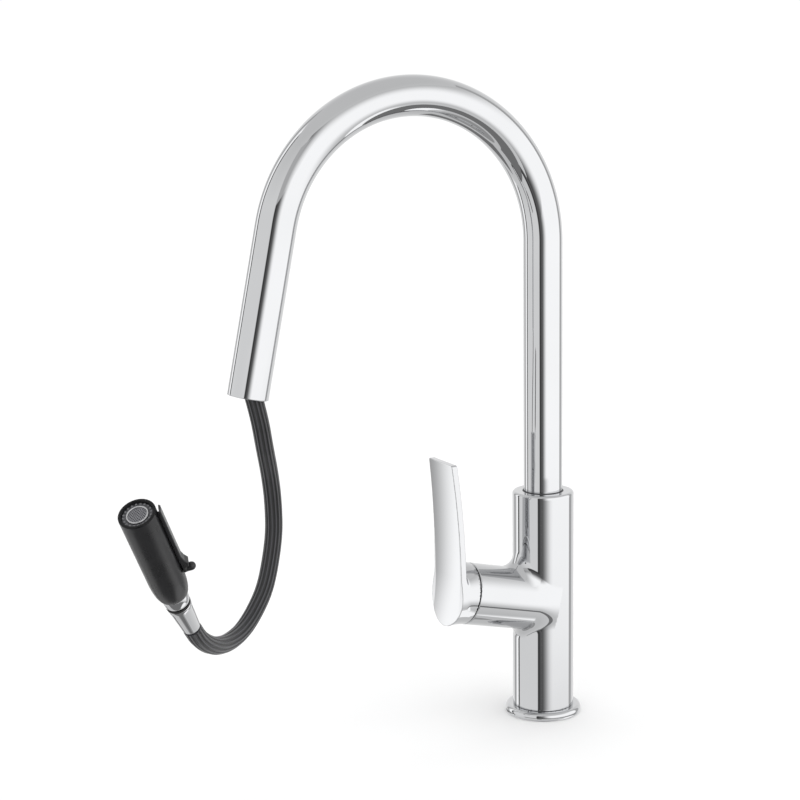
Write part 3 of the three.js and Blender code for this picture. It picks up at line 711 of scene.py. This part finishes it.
def hose_fittings():
    cone = [
        (0, NUT_START), (5.6, NUT_START), (6.0, NUT_START + 0.25), (6.15, NUT_START + 0.8),
        (7.75, NUT_TOP - 2.6), (7.9, NUT_TOP - 2.0), (7.9, NUT_TOP - 0.5), (7.75, NUT_TOP - 0.12),
        (7.4, NUT_TOP),
        *arc(0, SWIVEL, SWIVEL_BALL_R, -50, 90, 14)[:-1], (0, SWIVEL + SWIVEL_BALL_R),
    ]
    nut = turned("swivel_nut", cone, CHROME, "hose", NUT, 128, replaces=["hose_nut"], slot="chrome_shell")
    bottom, top = NUT_TOP + GAP, NUT_TOP + 1.9
    ring = softened([(5.2, bottom), (8.1, bottom), (8.1, top), (5.2, top)], 0.35)
    seal = turned("nut_seal", ring, RUBBER, "hose", NUT, 128, replaces=["hose_nut_ring"], slot="seal_rubber")
    return [nut, seal]


# ---------------------------------------------------------------- spray head
def head():
    collar = [
        (5, -0.6), (7.8, -0.6), (8.05, -0.45), (8.2, -0.1), (COLLAR_R, 1.6), (COLLAR_R, SHELL_START - 0.6),
        (8.2, SHELL_START - GAP), (5, SHELL_START - GAP),
    ]
    turned("head_collar", collar, CHROME, "spray_head", HEAD, 128,
           replaces=["neck_collar"], slot="chrome_shell")
    side = DOME_END - SHELL_START
    rise = np.linspace(0, 1, 25) ** 1.6
    dome = [(8.2 + (HEAD_R - 8.2) * math.sqrt(1 - (1 - t) ** 2), SHELL_START + side * t) for t in rise]
    shell = [
        (5.2, SHELL_START), (7.9, SHELL_START), *dome, (HEAD_R, SHELL_END - 0.9),
        *arc(HEAD_R - 0.7, SHELL_END - 0.7, 0.7, 0, 90, 5),
        *arc(HEAD_BORE_R + 0.35, SHELL_END - 0.35, 0.35, 90, 180, 3),
        (HEAD_BORE_R, 27.5), (6.6, 9.5), (5.2, 9.5),
    ]
    barrel = turned("head_barrel", shell, BLACK, "spray_head", HEAD, 160,
                    replaces=["head_shell"], slot="black_plastic")
    cut_slot(barrel)
    face()
    toggle()


def cut_slot(barrel):
    """Opens the slot that the toggle's boss passes through, and gives the rim its glossier black."""
    corners = [(x, y, z) for x in (8, 14) for y in (-2.5, 2.5) for z in (TOGGLE_PIN_Z - 4, TOGGLE_PIN_Z + 4)]
    mesh = bpy.data.meshes.new("slot_tool")
    tool = bmesh.new()
    verts = [tool.verts.new(Vector(HEAD.out(c)) * MM) for c in corners]
    for f in ((0, 1, 3, 2), (4, 6, 7, 5), (0, 4, 5, 1), (2, 3, 7, 6), (0, 2, 6, 4), (1, 5, 7, 3)):
        tool.faces.new([verts[i] for i in f])
    bmesh.ops.recalc_face_normals(tool, faces=tool.faces)
    tool.to_mesh(mesh)
    tool.free()
    cutter = bpy.data.objects.new("slot_tool", mesh)
    bpy.context.scene.collection.objects.link(cutter)
    modifier = barrel.modifiers.new("slot", "BOOLEAN")
    modifier.operation, modifier.solver, modifier.object = "DIFFERENCE", "EXACT", cutter
    bpy.context.view_layer.update()
    cut = bpy.data.meshes.new_from_object(barrel.evaluated_get(bpy.context.evaluated_depsgraph_get()))
    barrel.modifiers.clear()
    barrel.data = cut
    cut.set_sharp_from_angle(angle=math.radians(32))
    bpy.data.objects.remove(cutter)
    cut.materials.clear()
    cut.materials.append(BLACK)
    cut.materials.append(GLOSS)
    for polygon in cut.polygons:
        along = HEAD.into(np.array(polygon.center) / MM)[2]
        polygon.material_index = int(along > SHELL_END - 0.62)


def face():
    top = FACE_TOP
    bottom, hole_r, plate_r = top - FACE_DEPTH, FACE_RING_R + 0.2, HEAD_BORE_R - GAP
    plate = softened([(hole_r, bottom), (plate_r, bottom), (plate_r, top - 0.8), (hole_r, top - 0.8)], 0.15)
    turned("face_plate", plate, FACE, "spray_head", HEAD, 128,
           replaces=["nozzle_plate"], slot="black_plastic")
    nozzle = [(0, top - 1.2), (0.68, top - 1.2), (0.62, top - 0.35), (0.5, top - 0.18), (0.26, top - 0.18),
              (0.22, top - 0.55), (0, top - 0.55)]
    for i in range(NOZZLES):
        angle = TAU * i / NOZZLES
        spot = HEAD.out([NOZZLE_CIRCLE * math.cos(angle), NOZZLE_CIRCLE * math.sin(angle), 0])
        turned(f"nozzle_{i + 1:02d}", nozzle, NUBS, "spray_head", Place(spot, HEAD_AXIS), 16,
               slot="black_plastic")
    inner = FACE_RING_R - 1.05
    rim = softened([(inner, bottom), (FACE_RING_R, bottom), (FACE_RING_R, top), (inner, top)], 0.3)
    turned("aerator_rim", rim, STEEL, "spray_head", HEAD, 128, replaces=["aerator_ring"], slot="steel_small")
    aerator()


def aerator_distance(p):
    q = HEAD.into(p)
    x, y, z = q.T
    disc = both(np.hypot(x, y) - FACE_RING_R + 1.2, np.maximum(z - FACE_TOP + 0.75, FACE_TOP - 2.6 - z), 0.1)
    between_rows = AERATOR_PITCH * math.sqrt(3) / 2
    holes = np.full(len(q), 9.0)
    for row in range(-4, 5):
        shift = AERATOR_PITCH / 2 if row % 2 else 0.0
        nearest = np.round((x - shift) / AERATOR_PITCH) * AERATOR_PITCH + shift
        holes = np.minimum(holes, np.hypot(x - nearest, y - row * between_rows))
    pits = np.maximum(holes - AERATOR_HOLE_R, FACE_TOP - 1.7 - z)
    pits = np.maximum(pits, np.hypot(x, y) - FACE_RING_R + 1.7)
    return without(disc, pits, 0.08)


def aerator():
    centre = HEAD.out([0, 0, FACE_TOP - 1.7])
    solid("aerator_mesh", aerator_distance, centre - 5.8, centre + 5.8, 0.16 if FINE else 0.3,
          MESH, "spray_head", relax=1, replaces=["aerator_insert"], slot="grey_plastic")


def outline_distance(x, z, outline):
    """Distance in a plane from a closed outline, negative inside."""
    points = np.array(outline, float)
    best = np.full(len(x), 1e9)
    inside = np.zeros(len(x), bool)
    for (ax, az), (bx, bz) in zip(points, np.roll(points, -1, axis=0)):
        ex, ez = bx - ax, bz - az
        t = np.clip(((x - ax) * ex + (z - az) * ez) / (ex * ex + ez * ez), 0, 1)
        best = np.minimum(best, np.hypot(x - ax - t * ex, z - az - t * ez))
        crosses = (az > z) != (bz > z)
        inside ^= crosses & (x < ax + (z - az) * ex / (ez if ez else 1e-9))
    return np.where(inside, -best, best)


def toggle_distance(p):
    q = HEAD.into(p)
    x, y, z = q.T
    inner = HEAD_R + 0.35
    soft = 0.45
    outline = [
        (inner + soft, TOGGLE_PIN_Z + 1), (inner + 1.4, SHELL_END - 1.3), (13.95, SHELL_END - 1.8),
        (13.95, 39.4), (15.0, 35.5), (16.7, 32.6), (16.3, 30.8), (13.5, 29.4), (13.5, 26.1),
        (inner + soft, 25.9),
    ]
    strip = both(outline_distance(x, z, outline) - soft, np.abs(y) - STRIP_HALF, 0.7)
    beyond = x - np.clip(x, inner, KNOB_TIP)
    knob = np.maximum(np.sqrt(beyond ** 2 + y ** 2 + (z - KNOB_Z) ** 2) - KNOB_R, inner - x)
    boss = np.maximum.reduce([np.abs(x - 9) - 3.6, np.abs(y) - BOSS_HALF, np.abs(z - TOGGLE_PIN_Z) - 2.2])
    d = np.minimum(melted(strip, knob, 0.8), boss)
    return np.maximum(d, 1.2 - np.hypot(x - TOGGLE_PIN_X, z - TOGGLE_PIN_Z))


def toggle():
    corners = HEAD.out([(x, y, z) for x in (5, 21) for y in (-4, 4) for z in (23, 84)])
    solid("toggle_strip", toggle_distance, corners.min(0), corners.max(0), 0.35 if FINE else 0.7,
          BLACK, "toggle", replaces=["toggle_lever"], slot="black_plastic")


# ---------------------------------------------------------------- CAD nodes that stay as they are
KEPT = {
    "base_gasket": RUBBER, "inlet_connector_hot": BRASS, "inlet_connector_cold": BRASS,
    "hose_outlet_connector": BRASS, "spout_retaining_screw": STEEL, "cartridge_base_seal": RUBBER,
    "cartridge_base": WHITE, "ceramic_disc_fixed": CERAMIC, "cartridge_housing": WHITE,
    "cartridge_nut": BRASS, "ceramic_disc_moving": CERAMIC, "cartridge_carrier": WHITE,
    "stem_pivot_pin": STEEL, "cartridge_stem": BRASS, "handle_set_screw": STEEL, "handle_screw_plug": GREY,
    "spout_nipple": BRASS, "spout_o_ring_lower": RUBBER, "spout_o_ring_upper": RUBBER,
    "waterway_core": GREY, "check_valve": WHITE, "toggle_pin_carrier": GREY, "toggle_pin": STEEL,
}


def dress_kept_nodes():
    for name, material in KEPT.items():
        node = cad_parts[name]
        node.data.materials.clear()
        node.data.materials.append(material)


# ---------------------------------------------------------------- studio
CAMERA_AT = Vector((1.11706, -0.68663, 0.47724))
CAMERA_TURN = (  # the camera's own x, y and z axes
    (0.457411, 0.889137, -0.014486), (-0.155211, 0.095866, 0.983219), (0.875605, -0.447487, 0.181854),
)


def camera():
    data = bpy.data.cameras.new("camera")
    data.lens, data.sensor_width = 82.954, 36.0
    obj = bpy.data.objects.new("camera", data)
    obj.matrix_world = Matrix.Translation(CAMERA_AT) @ Matrix(CAMERA_TURN).transposed().to_4x4()
    bpy.context.scene.collection.objects.link(obj)
    bpy.context.scene.camera = obj


def glowing(name, across, up=(1, 1)):
    """Emission that runs from one level to another across a card, times a second run up its height."""
    material = bpy.data.materials.new(name)
    material.use_nodes = True
    nodes, links = material.node_tree.nodes, material.node_tree.links
    nodes.clear()
    out = nodes.new("ShaderNodeOutputMaterial")
    glow = nodes.new("ShaderNodeEmission")
    links.new(glow.outputs[0], out.inputs["Surface"])
    split = nodes.new("ShaderNodeSeparateXYZ")
    links.new(nodes.new("ShaderNodeTexCoord").outputs["UV"], split.inputs[0])
    product = nodes.new("ShaderNodeMath")
    product.operation = "MULTIPLY"
    for slot, (axis, levels) in enumerate((("X", across), ("Y", up))):
        scale = nodes.new("ShaderNodeMapRange")
        scale.interpolation_type = "SMOOTHSTEP"
        scale.inputs["To Min"].default_value, scale.inputs["To Max"].default_value = levels
        links.new(split.outputs[axis], scale.inputs["Value"])
        links.new(scale.outputs["Result"], product.inputs[slot])
    links.new(product.outputs[0], glow.inputs["Strength"])
    return material


def card(name, start, end, low, high, near, material, far=None):
    """A curved card round the object, between two bearings in degrees to the right of the camera.

    It stands at the distance near, or slopes outwards from near at its high edge to far at its low edge.
    """
    base = math.atan2(CAMERA_AT.y, CAMERA_AT.x)
    steps = max(2, int(abs(end - start) / 4))
    points, faces, uv = [], [], []
    for i in range(steps + 1):
        a = base + math.radians(start + (end - start) * i / steps)
        for z, distance in ((low, far or near), (high, near)):
            points.append((distance * math.cos(a), distance * math.sin(a), z))
    for i in range(steps):
        faces.append((2 * i, 2 * i + 2, 2 * i + 3, 2 * i + 1))
        uv += [(i / steps, 0), ((i + 1) / steps, 0), ((i + 1) / steps, 1), (i / steps, 1)]
    mesh = bpy.data.meshes.new(name)
    mesh.from_pydata(points, [], faces)
    mesh.uv_layers.new(name="UVMap").data.foreach_set("uv", np.asarray(uv, np.float32).ravel())
    mesh.materials.append(material)
    obj = bpy.data.objects.new(name, mesh)
    bpy.context.scene.collection.objects.link(obj)
    obj.visible_camera = False
    obj.visible_shadow = False
    obj.visible_diffuse = near > 2  # a card that stands close by is for reflections only


def floor_flag(height, radius, material):
    """A round card far below, which only reflections see."""
    rim = [(radius * math.cos(TAU * i / 32), radius * math.sin(TAU * i / 32), height) for i in range(32)]
    mesh = bpy.data.meshes.new("flag_below")
    mesh.from_pydata(rim, [], [tuple(range(32))])
    mesh.materials.append(material)
    obj = bpy.data.objects.new("flag_below", mesh)
    bpy.context.scene.collection.objects.link(obj)
    obj.visible_camera = False
    obj.visible_shadow = False


def floor():
    material, nodes, links, bsdf = shader("pale_floor")
    links.new(ramp(nodes, links, noise(nodes, links, 3.0), 0.95, 0.965), bsdf.inputs["Base Color"])
    bsdf.inputs["Roughness"].default_value = 0.9
    bsdf.inputs["Specular IOR Level"].default_value = 0.1
    mesh = bpy.data.meshes.new("floor")
    far = 12.0
    mesh.from_pydata([(-far, -far, 0), (far, -far, 0), (far, far, 0), (-far, far, 0)], [], [(0, 1, 2, 3)])
    mesh.materials.append(material)
    obj = bpy.data.objects.new("floor", mesh)
    bpy.context.scene.collection.objects.link(obj)
    obj.visible_glossy = False


def cards():
    """What the polished metal reflects: soft box on the right, flags and fills on the left, shelves below."""
    foot, low, bend, brow, high = -7.5, -2.1, -0.6, 1.3, 4.2  # heights of the cards' edges
    wall, close = 3.4, 1.4  # distances from the object
    even_run = (1, 1)
    for name, start, end, bottom, top, near, across, up in (
        ("soft_box", 24, 115, bend, brow, wall, (1.48, 1.48), even_run),
        ("soft_box_fade", -5, 24, bend, brow, wall, (0.13, 1.48), even_run),
        ("soft_box_top", 24, 115, brow, high, wall, even_run, (1.48, 0.75)),
        ("soft_box_top_fade", -5, 24, brow, high, wall, (0.4, 1), (1.35, 0.75)),
        ("soft_box_low", 36, 115, low, bend, wall, even_run, (0.76, 1.46)),
        ("soft_box_low_fade", -5, 36, low, bend, wall, (0.1, 1), (0.72, 1.4)),
        ("soft_box_foot", 84, 120, foot, low, wall, (1.45, 1.45), even_run),
        ("soft_box_foot_fade", 72, 84, foot, low, wall, (0.8, 1.45), even_run),
        ("flag_camera", -17.5, -5, -1.0, 0.75, close, (0.05, 0.15), even_run),
        ("flag_camera_edge", -21.5, -17.5, -1.0, 0.75, close, (0.97, 0.05), even_run),
        ("flag_camera_top", -20, -2, 0.75, 1.7, close, (0.6, 0.6), even_run),
        ("flag_left", -108, -100, low, high, wall, (0.15, 0.15), even_run),
        ("fill_left", -112, -108, low, high, wall, (1.5, 1.5), even_run),
        ("fill_left_fade", -130, -112, low, high, wall, (0.5, 1.5), even_run),
        ("fill_left_end", -137, -130, low, high, wall, (0.5, 0.5), even_run),
        ("flag_right", 115, 133, low, high, wall, (0.55, 0.55), even_run),
    ):
        card(name, start, end, bottom, top, near, glowing(name, across, up))
    for name, start, end in (("shelf_front", -58, 120), ("shelf_back", 178, 262)):
        card(name, start, end, -0.5, -0.09, 0.24, glowing(name, (0.24, 0.24)), far=0.92)
    floor_flag(-3.4, 1.15, glowing("flag_below", (0.42, 0.42)))


def studio():
    world = bpy.data.worlds.new("studio")
    world.use_nodes = True
    nodes, links = world.node_tree.nodes, world.node_tree.links
    nodes["Background"].inputs["Color"].default_value = (1, 1, 1, 1)
    split = nodes.new("ShaderNodeSeparateXYZ")
    links.new(nodes.new("ShaderNodeTexCoord").outputs["Generated"], split.inputs[0])
    tilt = nodes.new("ShaderNodeMath")
    tilt.operation = "ABSOLUTE"
    links.new(split.outputs["Z"], tilt.inputs[0])
    sky = nodes.new("ShaderNodeValToRGB")
    # brightest at the horizon, so that the far edge of the floor doesn't show, and dimmer overhead and below
    stops = ((0.0, 1.02), (0.06, 1.02), (0.12, 0.97), (0.35, 0.97), (0.85, 0.76))
    elements = sky.color_ramp.elements
    while len(elements) < len(stops):
        elements.new(0.5)
    for element, (at, level) in zip(elements, stops):
        element.position = at
        element.color = (level, level, level, 1)
    links.new(tilt.outputs[0], sky.inputs["Fac"])
    links.new(sky.outputs["Color"], nodes["Background"].inputs["Strength"])
    bpy.context.scene.world = world
    bpy.context.scene.view_settings.view_transform = "Standard"
    floor()
    cards()
    sun = bpy.data.lights.new("top_light", "SUN")
    sun.energy, sun.angle = 0.95, math.radians(100)
    lamp = bpy.data.objects.new("top_light", sun)
    lamp.location = (0, 0, 3.0)
    lamp.visible_glossy = False
    bpy.context.scene.collection.objects.link(lamp)


camera()
HOSE, HOSE_LINE, HOSE_LENGTH = hose()
HOSE_PIECES = hose_fittings()
flange()
body()
handle()
spout()
inner_hose()
head()
dress_kept_nodes()
studio()
